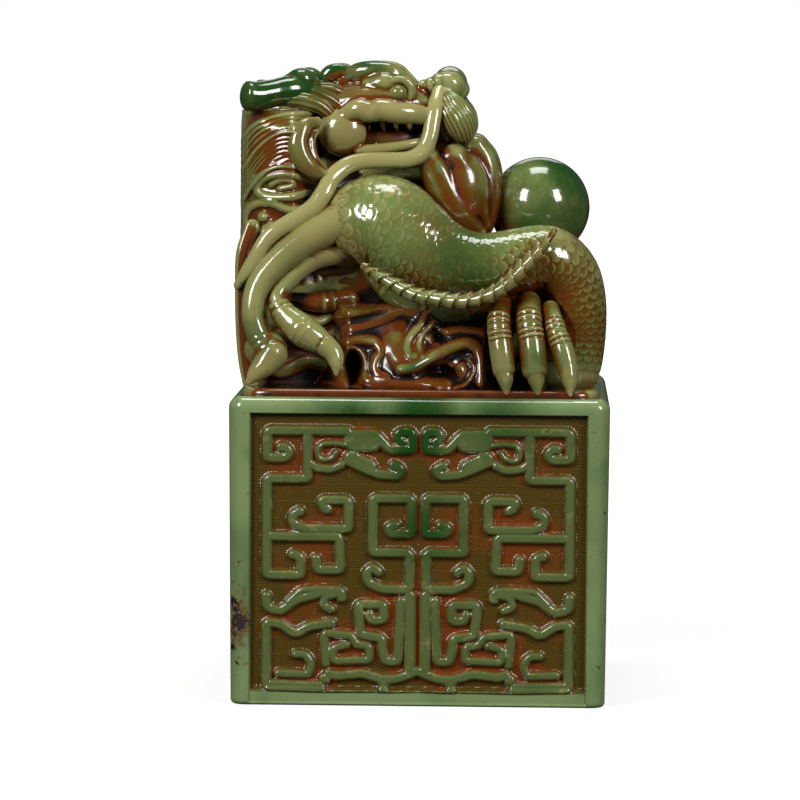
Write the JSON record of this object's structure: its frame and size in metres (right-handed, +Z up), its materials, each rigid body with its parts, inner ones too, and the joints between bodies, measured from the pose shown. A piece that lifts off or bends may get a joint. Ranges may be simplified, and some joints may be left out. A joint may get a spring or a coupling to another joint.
{
  "type": "seal stamp",
  "caption": "Carved stone seal with a dragon knob: a square block with scroll relief panels, and a coiled dragon with a pearl on top.",
  "frame": {"origin": "middle of the seal face, the flat underside of the block", "axes": "+Z up through the block and the knob, -Y out of the front, where the dragon's body and foot show, +X towards the pearl"},
  "size_m": [0.08, 0.08, 0.1358],
  "materials": {
    "green_jade": "polished deep green stone",
    "pale_jade": "polished pale celadon stone",
    "olive_jade": "polished olive stone with russet hollows",
    "russet_stone": "polished russet stone",
    "dark_stone": "deep carved hollows, dark russet"
  },
  "bodies": {
    "root": {"block": "green_jade", "relief_front": "olive_jade", "relief_right": "olive_jade", "relief_back": "olive_jade", "relief_left": "olive_jade", "pearl": "green_jade", "skull": "pale_jade", "core": "dark_stone", "whisker_near": "pale_jade", "whisker_far": "pale_jade", "eye_near": "pale_jade", "eye_far": "pale_jade", "brow_near": "green_jade", "brow_far": "green_jade", "lip_near": "pale_jade", "lip_far": "pale_jade", "cheek_near": "pale_jade", "cheek_far": "pale_jade", "nose": "pale_jade", "nose_tuft": "pale_jade", "horn_near": "green_jade", "horn_far": "green_jade", "horn_prong": "green_jade", "top_curl": "green_jade", "ear_near": "pale_jade", "ear_far": "pale_jade", "jaw_near": "russet_stone", "jaw_far": "russet_stone", "beard": "russet_stone", "ridge": "pale_jade", "mane_lock_1_near": "olive_jade", "mane_lock_1_far": "olive_jade", "mane_lock_2_near": "olive_jade", "mane_lock_2_far": "olive_jade", "mane_lock_3_near": "olive_jade", "mane_lock_3_far": "olive_jade", "mane_curl_1": "pale_jade", "mane_curl_2": "pale_jade", "side_wave": "olive_jade", "foot_claw_1": "pale_jade", "foot_claw_2": "pale_jade", "foot_claw_3": "pale_jade", "foot_toe_1": "pale_jade", "foot_toe_2": "pale_jade", "foot_toe_3": "pale_jade", "arm_claw": "green_jade", "inner_arm_claw": "pale_jade", "arm": "green_jade", "inner_arm": "pale_jade", "back_toe": "russet_stone", "body": "green_jade", "haunch": "olive_jade", "cloud_1": "olive_jade", "cloud_2": "olive_jade", "tail_fin": "pale_jade", "tail": "olive_jade", "back_body": "olive_jade", "back_crest": "pale_jade", "hind_leg": "green_jade", "far_leg": "green_jade"}
  },
  "joints": []
}
